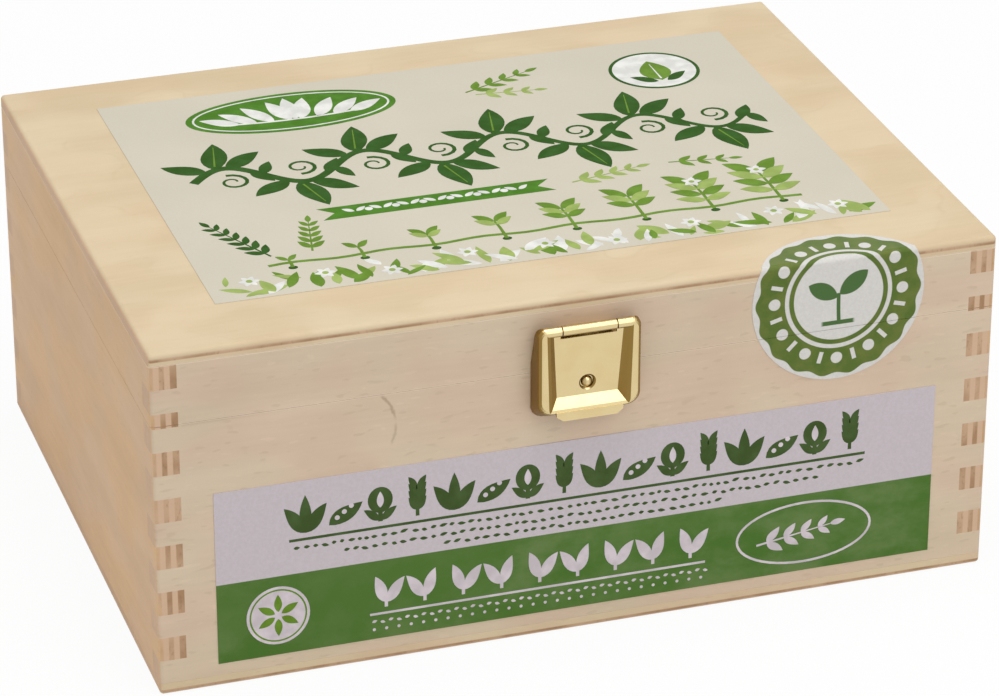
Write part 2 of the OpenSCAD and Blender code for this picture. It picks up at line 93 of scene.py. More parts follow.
class Nodes:
    """The shader nodes of one material, with short calls for the ones used here."""

    def __init__(self, name):
        self.material = bpy.data.materials.new(name)
        self.material.use_nodes = True
        self.tree = self.material.node_tree
        self.tree.nodes.clear()
        self.output = self.tree.nodes.new("ShaderNodeOutputMaterial")
        coords = self.tree.nodes.new("ShaderNodeTexCoord")
        self.point = coords.outputs["Object"]
        self.normal = coords.outputs["Normal"]

    def set(self, socket, value):
        if isinstance(value, Field):
            value = value.socket
        if isinstance(value, bpy.types.NodeSocket):
            self.tree.links.new(value, socket)
        elif value is not None:
            socket.default_value = value

    def math(self, operation, a, b=None, c=None):
        node = self.tree.nodes.new("ShaderNodeMath")
        node.operation = operation
        for socket, value in zip(node.inputs, (a, b, c)):
            self.set(socket, value)
        return Field(self, node.outputs[0])

    def split(self, vector):
        node = self.tree.nodes.new("ShaderNodeSeparateXYZ")
        self.set(node.inputs[0], vector)
        return [Field(self, socket) for socket in node.outputs]

    def vector(self, x, y, z):
        node = self.tree.nodes.new("ShaderNodeCombineXYZ")
        for socket, value in zip(node.inputs, (x, y, z)):
            self.set(socket, value)
        return node.outputs[0]

    def noise(self, vector, scale=1.0, detail=2.0, roughness=0.5):
        node = self.tree.nodes.new("ShaderNodeTexNoise")
        self.set(node.inputs["Vector"], vector)
        node.inputs["Scale"].default_value = scale
        node.inputs["Detail"].default_value = detail
        node.inputs["Roughness"].default_value = roughness
        return Field(self, node.outputs[0])

    def smooth(self, value, low, high, to_low=0.0, to_high=1.0):
        node = self.tree.nodes.new("ShaderNodeMapRange")
        node.interpolation_type = "SMOOTHSTEP"
        limits = {"From Min": low, "From Max": high, "To Min": to_low, "To Max": to_high}
        for name, number in limits.items():
            node.inputs[name].default_value = number
        self.set(node.inputs["Value"], value)
        return Field(self, node.outputs[0])

    def larger(self, a, b):
        return self.math("MAXIMUM", a, b)

    def smaller(self, a, b):
        return self.math("MINIMUM", a, b)

    def mix(self, share, a, b, blend="MIX"):
        node = self.tree.nodes.new("ShaderNodeMix")
        node.data_type = "RGBA"
        node.blend_type = blend
        self.set(node.inputs["Factor"], share)
        for name, value in (("A", a), ("B", b)):
            socket = [s for s in node.inputs if s.name == name and s.type == "RGBA"][0]
            self.set(socket, (*value, 1.0) if isinstance(value, tuple) else value)
        return [s for s in node.outputs if s.type == "RGBA"][0]

    def shade(self, colour, **looks):
        """Ends the material with a Principled shader. Uniform values go on its own sockets."""
        shader = self.tree.nodes.new("ShaderNodeBsdfPrincipled")
        self.set(shader.inputs["Base Color"], (*colour, 1.0) if isinstance(colour, tuple) else colour)
        for name, value in looks.items():
            self.set(shader.inputs[name.replace("_", " ").title().replace("Ior", "IOR")], value)
        self.tree.links.new(shader.outputs[0], self.output.inputs["Surface"])
        self.shader = shader
        return self.material

    def set_wood(self, place, colour, streak, fleck):
        self.place = place
        self.colour = colour
        self.relief = streak * 0.6 - fleck * 0.5

    def finish_wood(self):
        self.shade(self.colour, roughness=0.62, specular_ior_level=0.25)
        self.bump(self.relief, 0.05 * MM, 0.5)
        return self.material

    def bump(self, height, distance, strength=1.0):
        node = self.tree.nodes.new("ShaderNodeBump")
        node.inputs["Distance"].default_value = distance
        node.inputs["Strength"].default_value = strength
        self.set(node.inputs["Height"], height)
        self.tree.links.new(node.outputs[0], self.shader.inputs["Normal"])


# Plywood

# Shares of the thickness, from the outer face inwards, at which one ply ends and the next begins
WALL_PLIES = (0.17, 0.37, 0.56, 0.76)
PANEL_PLIES = (0.44, 0.66)
# The bottom panel's crossing ply lies near its lower face, so its darker edge colour is partly the ply's
# own and partly painted shade of the rounded lower edge.
BOTTOM_PLIES = (0.16, 0.42)

CRACK_CENTRE = (-56.2 * MM, 61.4 * MM)
CRACK_RADIUS = 11 * MM
# Height of the painted shadow line on the front
SHADOW_LINE_HEIGHT = 69.3 * MM
PARTING_GAP = 0.1 * MM

FRONT_LIGHT, FRONT_DARK = (0.745, 0.603, 0.445), (0.62, 0.497, 0.353)
# Tones of the side walls, also given to board ends that face sideways: warmer than the front's and about as
# bright, though these faces get less light. They are partly a warmer tone of the wood and partly painted
# light that makes up for the lesser light there.
PAINTED_SIDE_LIGHT, PAINTED_SIDE_DARK = (0.806, 0.562, 0.366), (0.68, 0.454, 0.271)
TOP_LIGHT, TOP_DARK = (0.745, 0.612, 0.412), (0.655, 0.515, 0.325)
CORE_WOOD = (0.70, 0.48, 0.325)
END_LIGHT, END_DARK = (0.60, 0.395, 0.25), (0.40, 0.235, 0.125)
# Dark wood of the split in the front and of the painted shadow line
CRACK_AND_SHADOW_WOOD = (0.30, 0.20, 0.12)
# Pale wood colour of the painted light along seams
PAINTED_LIGHT_WOOD = (0.98, 0.83, 0.66)


def plies(nodes, depth, borders, soft, fade):
    """1 in the plies that run across the face grain, 0 in the others. fade blurs their outer borders."""
    turned = None
    for i in range(0, len(borders), 2):
        inside = (nodes.smooth(depth, borders[i] - soft - fade, borders[i] + soft + fade)
                  * nodes.smooth(depth, borders[i + 1] + soft, borders[i + 1] - soft))
        turned = inside if turned is None else nodes.larger(turned, inside)
    return turned


def plywood(name, thick_axis, outer, thickness, grain_axis, borders, tones, shift,
            figure=3 * MM, end_long=1.0, end_cross=1.0, curly=0.0, flecks=1.0,
            tint=(1.0, 0.945, 0.96), end_tones=None, fade=0.0):
    """Plywood whose plies are placed by depth. Plies alternate between grain_axis and the third axis.

    A ply cut across its grain shows darker end grain. outer is the outer face's coordinate, and
    thickness is positive where the board lies on its higher side. shift moves the grain pattern.
    end_long and end_cross say how much end grain shows on the faces across each of these axes,
    end_tones colours the faces across grain_axis, tint colours the soft patches, and fade blurs the
    plies' outer borders.
    """
    light, dark = tones
    nodes = Nodes(name)
    point = nodes.split(nodes.point)
    facing = [abs(part) for part in nodes.split(nodes.normal)]
    cross_axis = 3 - thick_axis - grain_axis
    along, across, deep = point[grain_axis], point[cross_axis], point[thick_axis]
    depth = (deep - outer) / thickness
    soft = 0.14 * MM / abs(thickness)
    turned = plies(nodes, depth, borders, soft, fade)
    ends = nodes.smooth(facing[grain_axis], 0.55, 0.95) * (1 - turned) * end_long
    ends = ends + nodes.smooth(facing[cross_axis], 0.55, 0.95) * turned * end_cross
    ends = ends * nodes.smooth(depth, 0.05, 0.4, 0.5, 1.0)
    edge = nodes.smooth(facing[thick_axis], 0.7, 0.4)

    # Face: fibres that wander, broad figure, fine streaks, sparse short flecks and soft mottling
    wander = nodes.noise(nodes.vector(along * 14 + shift, across * 30, deep * 30), 1.0, 2.0) - 0.5
    bent = across + wander * figure
    broad = nodes.noise(nodes.vector(along * 14 + shift, bent * 70, shift), 1.0, 2.0, 0.55)
    streak = nodes.noise(nodes.vector(along * 60 + shift, bent * 800, deep * 300), 1.0, 2.0, 0.55)
    fleck = nodes.noise(nodes.vector(along * 300 + shift, bent * 950, deep * 900), 1.0, 0.0)
    mottle = nodes.noise(nodes.vector(along * 50 + shift, across * 90, shift * 3), 1.0, 2.0)
    pink = nodes.noise(nodes.vector(along * 38 + shift * 2, across * 60, shift), 1.0, 1.0)
    dark_fleck = nodes.smooth(fleck, 0.30, 0.19)
    light_fleck = nodes.smooth(fleck, 0.72, 0.84)
    tone = 0.5 + (broad - 0.5) * 0.5 + (streak - 0.5) * 0.24 + (mottle - 0.5) * 0.4
    if curly:
        # Curly figure: soft rounded patches with a faint line along some of their borders
        patch = nodes.noise(nodes.vector(along * 46 + wander * 0.5, across * 58, shift), 1.0, 1.0, 0.4)
        line = nodes.smooth(abs(patch - 0.5), 0.022, 0.0) * nodes.smooth(mottle, 0.45, 0.65)
        tone = tone + (nodes.smooth(patch, 0.38, 0.62) - 0.5) * 0.3 * curly - line * 0.16 * curly
    tone = nodes.smooth(tone + light_fleck * 0.12 * flecks - dark_fleck * 0.24 * flecks, 0.12, 0.88)
    face = nodes.mix(tone, dark, light)
    rosy = nodes.mix(tone, *[tuple(c * k for c, k in zip(wood, tint)) for wood in (dark, light)])
    face = nodes.mix(nodes.smooth(pink, 0.40, 0.60), face, rosy)
    if end_tones:
        face = nodes.mix(nodes.smooth(facing[grain_axis], 0.55, 0.95), face,
                         nodes.mix(tone, end_tones[1], end_tones[0]))
    face = nodes.mix(edge * turned, face, nodes.mix(tone, tuple(c * 0.9 for c in CORE_WOOD), CORE_WOOD))

    # End grain: darker and reddish, uneven from place to place, with pores
    uneven = nodes.noise(nodes.vector(point[X] * 120 + shift, point[Y] * 120, point[Z] * 95), 1.0, 2.0)
    pores = nodes.noise(nodes.vector(point[X] * 1500, point[Y] * 1500, point[Z] * 700), 1.0, 1.0)
    cut = nodes.mix(nodes.smooth(uneven, 0.3, 0.68), END_DARK, END_LIGHT)
    cut = nodes.mix(nodes.smooth(pores, 0.46, 0.3, 0.0, 0.3), cut, tuple(c * 0.65 for c in END_DARK))
    colour = nodes.mix(ends, face, cut)

    nodes.set_wood(point, colour, streak, dark_fleck)
    return nodes


def crack_and_shadow_line(nodes):
    """A short curved split in the front wall's face ply, and a painted soft shadow line at one height on
    the left part of the front.
    """
    x, y, z = nodes.place
    dx = x - CRACK_CENTRE[0]
    dz = z - CRACK_CENTRE[1]
    radius = nodes.math("SQRT", dx * dx + dz * dz)
    angle = nodes.math("ARCTAN2", dz, dx)
    jitter = (nodes.noise(nodes.vector(dx * 700, dz * 700, 0.0), 1.0, 2.0) - 0.5) * (0.8 * MM)
    off = abs(radius - CRACK_RADIUS + jitter)
    upper = nodes.smooth(angle, 0.06, 0.3) * nodes.smooth(angle, 0.84, 0.72)
    lower = nodes.smooth(angle, -0.5, -0.36) * nodes.smooth(angle, 0.1, -0.1)
    line = nodes.smooth(off, 0.55 * MM, 0.05 * MM) * nodes.larger(upper, lower * 0.7)
    # Painted shadow: a soft dark line at one height on the left part of the front
    painted_shadow_line = (nodes.smooth(abs(z - SHADOW_LINE_HEIGHT), 0.8 * MM, 0.1 * MM)
              * nodes.smooth(x, -66 * MM, -92 * MM) * nodes.smooth(x, -97 * MM, -94 * MM))
    nodes.colour = nodes.mix(nodes.larger(line * 0.5, painted_shadow_line * 0.2), nodes.colour, CRACK_AND_SHADOW_WOOD)


def painted_light_line(nodes, height, share):
    """Painted light along a seam at one height: pale wood colour that lightens the shade in the crevice
    there.
    """
    line = nodes.smooth(abs(nodes.place[Z] - height), 0.26 * MM, 0.14 * MM)
    nodes.colour = nodes.mix(line * share, nodes.colour, PAINTED_LIGHT_WOOD)


def wall_wood(name, side_axis, sign, tones, shift):
    """Material of the walls of one side: a wall's thickness lies along side_axis."""
    outer = sign * (half_w if side_axis == X else half_d)
    length_axis = Y if side_axis == X else X
    if side_axis == X:
        return plywood(name, X, outer, -sign * wall_t, length_axis, WALL_PLIES, tones, shift,
                       flecks=0.5, tint=(1.02, 0.995, 0.885))
    return plywood(name, Y, outer, -sign * wall_t, length_axis, WALL_PLIES, tones, shift,
                   end_long=0.25, end_tones=(PAINTED_SIDE_LIGHT, PAINTED_SIDE_DARK))


def make_wood():
    front = wall_wood("wood_front", Y, -1, (FRONT_LIGHT, FRONT_DARK), 1.2)
    crack_and_shadow_line(front)
    back = wall_wood("wood_back", Y, 1, (FRONT_LIGHT, FRONT_DARK), 5.9)
    left = wall_wood("wood_left", X, -1, (PAINTED_SIDE_LIGHT, PAINTED_SIDE_DARK), 2.6)
    right = wall_wood("wood_right", X, 1, (PAINTED_SIDE_LIGHT, PAINTED_SIDE_DARK), 6.4)
    top = plywood("wood_top", Z, box_h, -panel_t, X, PANEL_PLIES, (TOP_LIGHT, TOP_DARK), 3.7,
                  figure=14 * MM, end_long=0.2, curly=0.8, flecks=0.35, tint=(1.0, 0.975, 0.97),
                  end_tones=(PAINTED_SIDE_LIGHT, PAINTED_SIDE_DARK), fade=0.09)
    bottom = plywood("wood_bottom", Z, 0.0, panel_t, X, BOTTOM_PLIES, (TOP_LIGHT, TOP_DARK), 8.3,
                     figure=9 * MM, end_long=0.2, curly=0.5, end_tones=(PAINTED_SIDE_LIGHT, PAINTED_SIDE_DARK),
                     fade=0.05)
    # Painted light along the parting line and along the lid panel's lower edge, which lightens the shade in
    # these seams
    for wall in (front, back):
        painted_light_line(wall, wall_high.z + PARTING_GAP / 2, 0.38)
    for board in (top, front, back, left, right):
        painted_light_line(board, panel_low.z, 0.4)
    top, bottom, front, back, left, right = [
        wood.finish_wood() for wood in (top, bottom, front, back, left, right)]
    return {
        "lid_panel": top, "bottom_panel": bottom,
        "base_front": front, "lid_front": front, "base_back": back, "lid_back": back,
        "base_left": left, "lid_left": left, "base_right": right, "lid_right": right,
    }


# Brass

CLASP_BRASS = (0.745, 0.60, 0.325)
SHEET_BRASS = (0.80, 0.61, 0.30)
ROD_BRASS = (0.78, 0.60, 0.30)
# Dark brown for painted shade on brass faces that lean sideways or face down
SHADED_BRASS = (0.26, 0.156, 0.034)


def brass(name, colour, roughness, shift, side_shade=0.0):
    """Polished brass with faint clouding and polishing marks. The last argument sets painted shade: dark
    brown on the faces that lean sideways or face down, in place of the dark reflections there; these faces
    are also a little rougher.
    """
    nodes = Nodes(name)
    x, y, z = nodes.split(nodes.point)
    nx, ny, nz = nodes.split(nodes.normal)
    cloud = nodes.noise(nodes.vector(x * 160 + shift, y * 160, z * 160), 1.0, 3.0)
    marks = nodes.noise(nodes.vector(x * 5200, y * 5200, z * 420 + shift), 1.0, 2.0)
    warm = tuple(c * k for c, k in zip(colour, (0.95, 0.91, 0.84)))
    tint = nodes.mix(nodes.smooth(cloud, 0.35, 0.7, 0.0, 0.55), colour, warm)
    rough = roughness + (cloud - 0.5) * 0.12 + (marks - 0.5) * 0.06
    if side_shade:
        # Painted shade: the faces that lean sideways or face down turn dark brown, in place of the dark
        # reflections on them
        shaded_faces = nodes.larger(nodes.smooth(abs(nx), 0.12, 0.42), nodes.smooth(nz, -0.25, -0.75))
        tint = nodes.mix(shaded_faces * side_shade, tint, SHADED_BRASS)
        rough = rough + shaded_faces * 0.1
    nodes.shade(tint, metallic=1.0, roughness=rough)
    nodes.bump(marks, 0.004 * MM, 0.35)
    return nodes.material


def make_brass():
    # The last number sets how much painted shade the brass faces that lean sideways or face down get
    pressed = brass("brass_pressed", CLASP_BRASS, 0.24, 0.0, 0.95)
    plate = brass("brass_plate", CLASP_BRASS, 0.26, 1.0, 0.8)
    spring = brass("brass_spring", CLASP_BRASS, 0.22, 4.0, 0.5)
    sheet = brass("brass_sheet", SHEET_BRASS, 0.3, 3.0)
    rod = brass("brass_rod", ROD_BRASS, 0.27, 7.0)
    return {
        "clasp_flap": pressed, "clasp_plate": plate, "catch_spring": spring, "catch_plate": sheet,
        "hinge_base_leaves": sheet, "hinge_lid_leaves": sheet,
        "hinge_pins": rod, "hinge_base_nails": rod, "hinge_lid_nails": rod,
        "clasp_pin": rod, "clasp_plate_nails": rod, "catch_nails": rod,
    }


# Paper

DARK_GREEN = (0.022, 0.082, 0.004)
GRASS_GREEN = (0.062, 0.185, 0.010)
LEAF_GREEN = (0.125, 0.235, 0.022)
PALE_GREEN = (0.30, 0.395, 0.105)
PAPER_WHITE = (0.70, 0.695, 0.66)
PAPER_MAUVE = (0.585, 0.522, 0.555)
MOSS_GREEN = (0.052, 0.092, 0.024)
INKS = {"dark": DARK_GREEN, "grass": GRASS_GREEN, "leaf": LEAF_GREEN, "pale": PALE_GREEN,
        "white": PAPER_WHITE, "mauve": PAPER_MAUVE, "moss": MOSS_GREEN}
GREEN_BAND_HEIGHT = 20.7 * MM

# Darker and lighter tone of each paper
LID_PAPER = ((0.615, 0.57, 0.465), (0.66, 0.61, 0.50))
LILAC_PAPER = ((0.565, 0.505, 0.535), (0.605, 0.54, 0.575))
BAND_GREEN = ((0.062, 0.156, 0.017), (0.128, 0.21, 0.058))
BAND_SHADE = (0.071, 0.163, 0.021)
SEAL_GREEN = ((0.082, 0.142, 0.012), (0.13, 0.175, 0.024))
SEAL_WHITE = ((0.66, 0.64, 0.605), (0.71, 0.69, 0.65))
SPROUT_GREEN = (0.06, 0.14, 0.03)


def fibres(nodes, shift=0.0):
    """Faint unevenness of coated paper."""
    x, y, z = nodes.split(nodes.point)
    return nodes.noise(nodes.vector(x * 1400 + shift, y * 1400, z * 1400), 1.0, 3.0, 0.6)


def top_paper():
    """Ivory paper with a faintly uneven tone."""
    nodes = Nodes("paper_top")
    fine = fibres(nodes)
    x, y, z = nodes.split(nodes.point)
    broad = nodes.noise(nodes.vector(x * 30, y * 30, 2.0), 1.0, 3.0)
    tone = nodes.smooth((fine - 0.5) * 0.5 + broad, 0.2, 0.8)
    colour = nodes.mix(tone, *LID_PAPER)
    nodes.shade(colour, roughness=0.6, specular_ior_level=0.18)
    nodes.bump(fine, 0.01 * MM, 0.4)
    return nodes.material


def front_paper():
    """Lilac-grey paper whose lower part is printed in mottled green."""
    nodes = Nodes("paper_front")
    fine = fibres(nodes)
    x, y, z = nodes.split(nodes.point)
    wash = nodes.noise(nodes.vector(x * 60, 0.0, z * 90), 1.0, 4.0, 0.62)
    patch = nodes.noise(nodes.vector(x * 17 + 4, 0.0, z * 25), 1.0, 2.0)
    lilac = nodes.mix(nodes.smooth(fine, 0.3, 0.7), *LILAC_PAPER)
    green = nodes.mix(nodes.smooth(wash, 0.35, 0.68), *BAND_GREEN)
    green = nodes.mix(nodes.smooth(patch, 0.4, 0.62, 0.0, 0.7), green, BAND_SHADE)
    border = front_low.z + GREEN_BAND_HEIGHT
    colour = nodes.mix(nodes.smooth(z, border + 0.08 * MM, border - 0.08 * MM), lilac, green)
    nodes.shade(colour, roughness=0.55, specular_ior_level=0.22)
    nodes.bump(fine, 0.01 * MM, 0.4)
    return nodes.material


def seal_paper():
    """Round seal: a white sticker with a wavy green disc, a white ring, a dotted ring and a roundel."""
    nodes = Nodes("paper_seal")
    fine = fibres(nodes, 5.0)
    x, y, z = nodes.split(nodes.point)
    seal_r = (seal_high.x - seal_low.x) / 2
    centre_x = (seal_high.x + seal_low.x) / 2
    centre_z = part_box("seal_lower")[0].z + seal_r
    edge = 1 * MM
    # Height along the paper, which bends over the lid's edge: up the front, round, and back
    up = nodes.smaller(z, box_h - edge) - centre_z
    bend = (nodes.larger(z - (box_h - edge), 0.0)
            + nodes.larger(nodes.smaller(y + half_d, edge), 0.0)) * (math.pi / 4)
    over = nodes.larger(y + half_d - edge, 0.0)
    v = up + bend + over
    u = x - centre_x
    radius = nodes.math("SQRT", u * u + v * v)
    angle = nodes.math("ARCTAN2", v, u)

    lobes = 18
    wave = nodes.math("COSINE", angle * lobes)
    rim = seal_r * (0.945 + wave * 0.02)
    soft = 0.1 * MM
    green_part = nodes.smooth(radius - rim, soft, -soft)
    white_ring = nodes.smooth(abs(radius - seal_r * 0.60), 0.62 * MM, 0.42 * MM)
    roundel = nodes.smooth(radius, seal_r * 0.52 + soft, seal_r * 0.52 - soft)

    # Dots and small leaves between the ring and the wavy rim
    count = 12
    dots_r = seal_r * 0.745
    sector = nodes.math("FRACT", angle / math.tau * count + 0.5) - 0.5
    arc = sector * (math.tau / count) * radius
    dot_off = nodes.math("SQRT", arc * arc + (radius - dots_r) ** 2.0)
    dots = nodes.smooth(dot_off, 1.55 * MM, 1.35 * MM)
    half_sector = nodes.math("FRACT", angle / math.tau * count) - 0.5
    half_arc = half_sector * (math.tau / count) * radius
    bar = nodes.larger(abs(half_arc) * 2.4, abs(radius - dots_r) * 0.85)
    bars = nodes.smooth(bar, 1.35 * MM, 1.15 * MM)

    # Sprout on the roundel: a stem and two leaves
    def lens(cx, cz, turn, length, width):
        """Where two circles overlap: a pointed oval of this length and width."""
        cosine, sine = math.cos(turn), math.sin(turn)
        a = (u - cx) * cosine + (v - cz) * sine
        b = (v - cz) * cosine - (u - cx) * sine
        circle = (length * length / 4 + width * width / 4) / width
        lift = circle - width / 2
        away = nodes.math("SQRT", a * a + (abs(b) + lift) ** 2.0)
        return nodes.smooth(away - circle, soft, -soft)

    leaf_left = lens(-3.9 * MM, 1.7 * MM, math.radians(152), 8.4 * MM, 4.2 * MM)
    leaf_right = lens(3.7 * MM, 3.1 * MM, math.radians(38), 8.8 * MM, 4.4 * MM)
    stem = (nodes.smooth(abs(u - v * v * 6), 0.55 * MM, 0.4 * MM)
            * nodes.smooth(v, 0.9 * MM, 0.7 * MM) * nodes.smooth(v, -6.6 * MM, -6.4 * MM))
    ground = nodes.smooth(nodes.larger(abs(u) * 0.14, abs(v + 6.8 * MM)), 0.62 * MM, 0.5 * MM)
    sprout = nodes.larger(nodes.larger(leaf_left, leaf_right), nodes.larger(stem, ground))

    wash = nodes.noise(nodes.vector(u * 170, v * 170, 0.0), 1.0, 3.0, 0.6)
    green = nodes.mix(nodes.smooth(wash, 0.34, 0.68), *SEAL_GREEN)
    white = nodes.mix(nodes.smooth(fine, 0.3, 0.7), *SEAL_WHITE)
    colour = nodes.mix(green_part, white, green)
    for mask in (white_ring, nodes.larger(dots, bars), roundel):
        colour = nodes.mix(mask, colour, white)
    colour = nodes.mix(sprout * roundel, colour, SPROUT_GREEN)
    nodes.shade(colour, roughness=0.45, specular_ior_level=0.3)
    nodes.bump(fine, 0.01 * MM, 0.4)
    return nodes.material


def ink(name, colour):
    """Matt printing ink, a little uneven."""
    nodes = Nodes("ink_" + name)
    x, y, z = nodes.split(nodes.point)
    wash = nodes.noise(nodes.vector(x * 240, y * 240, z * 240), 1.0, 3.0)
    pale = tuple(min(1.0, c * 1.22 + 0.008) for c in colour)
    tint = nodes.mix(nodes.smooth(wash, 0.35, 0.7), colour, pale)
    nodes.shade(tint, roughness=0.55, specular_ior_level=0.06)
    return nodes.material


def dress(materials):
    """Puts each material in the one slot of its CAD piece."""
    for name, material in materials.items():
        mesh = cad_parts[name].data
        mesh.materials.clear()
        mesh.materials.append(material)


# Printed motifs

# Heights of the printed shapes above the paper, in millimetres
PRINT_BASE = 0.01
LAYER_STEP = 0.012
SHAPE_STEP = 0.0017
SHAPE_HEIGHTS = 7


class Print:
    """Flat printed shapes on a label, each a thin closed prism, joined into one piece."""

    def __init__(self, name, place):
        self.name = name
        self.place = place
        self.mesh = bmesh.new()
        self.count = 0
        self.inks = sorted(INKS)

    def add(self, outline, ink_name, layer=1):
        """Adds a closed outline in label millimetres. Higher layers cover lower ones.

        Shapes of one layer differ a little in height as well, so that none lie in the same plane.
        """
        lift = (PRINT_BASE + LAYER_STEP * layer + SHAPE_STEP * (self.count % SHAPE_HEIGHTS)) * MM
        self.count += 1
        top = [self.mesh.verts.new(self.place(x, y, lift)) for x, y in outline]
        low = [self.mesh.verts.new(self.place(x, y, -PRINT_BASE * MM)) for x, y in outline]
        faces = [self.mesh.faces.new(top), self.mesh.faces.new(low[::-1])]
        for i in range(len(outline)):
            j = (i + 1) % len(outline)
            faces.append(self.mesh.faces.new((top[j], top[i], low[i], low[j])))
        for face in faces:
            face.material_index = self.inks.index(ink_name)

    def finish(self, materials, body):
        bmesh.ops.recalc_face_normals(self.mesh, faces=self.mesh.faces)
        mesh = bpy.data.meshes.new(self.name)
        self.mesh.to_mesh(mesh)
        self.mesh.free()
        for name in self.inks:
            mesh.materials.append(materials[name])
        piece = bpy.data.objects.new(self.name, mesh)
        bpy.context.scene.collection.objects.link(piece)
        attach(piece, body)
        return piece


def rotated(points, x, y, angle):
    """Points turned by angle about the origin and then moved to x, y."""
    cosine, sine = math.cos(angle), math.sin(angle)
    return [(x + a * cosine - b * sine, y + a * sine + b * cosine) for a, b in points]


def leaf(x, y, angle, length, width, bend=0.0, steps=9):
    """Outline of a pointed leaf that grows from x, y. It is widest a little below its middle."""
    upper, lower = [], []
    for i in range(steps + 1):
        t = i / steps
        half = width / 2 * math.sin(math.pi * t ** 0.85) ** 0.9 if 0 < i < steps else 0.0
        middle = bend * math.sin(math.pi * t / 2) ** 2
        upper.append((t * length, middle + half))
        lower.append((t * length, middle - half))
    return rotated(upper + lower[-2:0:-1], x, y, angle)


def disc(x, y, radius, steps=20, squash=1.0):
    """Outline of a circle, or of an oval whose height is squash times its width."""
    return [(x + radius * math.cos(math.tau * i / steps),
             y + radius * squash * math.sin(math.tau * i / steps)) for i in range(steps)]


def stroke(path, width, tip=1.0):
    """Outline of a line along a path. Its width changes evenly from width to width times tip."""
    left, right = [], []
    for i, (x, y) in enumerate(path):
        x0, y0 = path[max(i - 1, 0)]
        x1, y1 = path[min(i + 1, len(path) - 1)]
        length = math.hypot(x1 - x0, y1 - y0)
        half = width / 2 * (1 + (tip - 1) * i / (len(path) - 1))
        nx, ny = -(y1 - y0) / length * half, (x1 - x0) / length * half
        left.append((x + nx, y + ny))
        right.append((x - nx, y - ny))
    return left + right[::-1]


def arc(x, y, radius, start, end, steps, squash=1.0):
    """Path along part of a circle or oval."""
    return [(x + radius * math.cos(start + (end - start) * i / steps),
             y + radius * squash * math.sin(start + (end - start) * i / steps))
            for i in range(steps + 1)]


def ring(art, x, y, radius, width, ink_name, layer, squash=1.0):
    """A line round a circle or oval, in two halves."""
    for start in (0, math.pi):
        path = arc(x, y, radius, start, start + math.pi, 24, squash)
        art.add(stroke(path, width), ink_name, layer)


def sprig(art, x, y, angle, length, pairs, ink_name, leaf_size, layer=1):
    """A stem with pairs of leaves that get smaller towards a leaf at its tip."""
    cosine, sine = math.cos(angle), math.sin(angle)
    path = [(x + cosine * length * t / 10, y + sine * length * t / 10) for t in range(11)]
    art.add(stroke(path, leaf_size * 0.11, 0.4), ink_name, layer)
    for k in range(pairs):
        t = (k + 0.6) / (pairs + 0.3)
        size = leaf_size * (1 - 0.35 * t)
        px, py = x + cosine * length * t, y + sine * length * t
        for side in (-1, 1):
            art.add(leaf(px, py, angle + side * math.radians(48), size, size * 0.42, side * -size * 0.1),
                    ink_name, layer)
    art.add(leaf(path[-1][0], path[-1][1], angle, leaf_size * 0.75, leaf_size * 0.3), ink_name, layer)


def vine(art, middle, half_length, swing, waves):
    """A climbing stem in even waves, with leaves and a curled tendril in each bow."""
    def at(t):
        return t * half_length, middle + swing * math.sin(t * waves * math.pi)

    steps = 120
    art.add(stroke([at(-1 + 2 * i / steps) for i in range(steps + 1)], 2.5, 0.55), "dark", 2)
    for k in range(2 * waves):
        t = -1 + (k + 0.5) / waves
        x, y = at(t)
        up = 1 if y > middle else -1
        bow_leaves = ((0.10, 84, 15.5, -1.4), (-0.04, 30, 12.5, 1.2), (0.24, 140, 12, 1.2))
        for back, turn, length, bend in bow_leaves:
            px, py = at(t - back / waves)
            art.add(leaf(px, py, up * math.radians(turn), length, length * 0.43, up * bend), "dark", 3)
        px, py = at(t - 0.10 / waves)
        vein = rotated([(2, 0), (8, -0.7 * up), (13.4, -1.3 * up)], px, py, up * math.radians(84))
        art.add(stroke(vein, 0.5, 0.4), "leaf", 4)
        for reach, turn, length in ((0.34, -64, 8.5), (0.47, 58, 7.5)):
            px, py = at(t + reach / waves)
            art.add(leaf(px, py, up * math.radians(turn), length, length * 0.44, up * 0.6), "dark", 3)
        turns = [(4.2 * (1 - i / 26), math.radians(100 - 24 * i)) for i in range(20)]
        curl = [(x + 0.4 + r * math.cos(a), y - up * 8.4 + up * r * math.sin(a)) for r, a in turns]
        art.add(stroke(curl, 1.1, 0.45), "dark", 3)


def plaque(art, x, y, half_length, half_height):
    """Green oval with a white line round it and a white spray of leaves."""
    art.add(disc(x, y, half_length, 72, half_height / half_length), "grass", 1)
    inner_length = half_length * 0.93
    inner_height = half_height * 0.87
    ring(art, x, y, inner_length, 0.55, "white", 2, inner_height / inner_length)
    low = y - half_height * 0.42
    bough = [(x + half_length * 0.62 * t, low + 1.2 * t * t) for t in (-1, -0.6, -0.2, 0.2, 0.6, 1)]
    art.add(stroke(bough, 0.8), "white", 2)
    art.add(leaf(x, low, math.radians(90), half_height * 1.15, 4.6), "white", 3)
    for side in (-1, 1):
        for k in range(4):
            lean = math.radians(90 - side * (20 + 15 * k))
            size = half_height * (1.1 - 0.06 * k)
            art.add(leaf(x + side * (1.2 + 4.3 * k), low + 0.25 * k, lean, size, size * 0.36, side * 0.8),
                    "white", 2)


def banner(art, x, y, half_length, half_height):
    """Green bar with notched ends and a row of pale seeds."""
    notch = half_height * 1.1
    art.add([(x - half_length, y - half_height), (x + half_length, y - half_height),
             (x + half_length - notch, y), (x + half_length, y + half_height),
             (x - half_length, y + half_height), (x - half_length + notch, y)], "grass", 1)
    count = 13
    for i in range(count):
        px = x + (half_length - 2.4 * notch) * (2 * i / (count - 1) - 1)
        if i % 2:
            art.add(disc(px, y, half_height * 0.3, 12), "white", 2)
        else:
            for side in (-1, 1):
                art.add(leaf(px + side * 0.25, y - 0.4, math.radians(90 - side * 52), 3.4, 1.5), "white", 2)


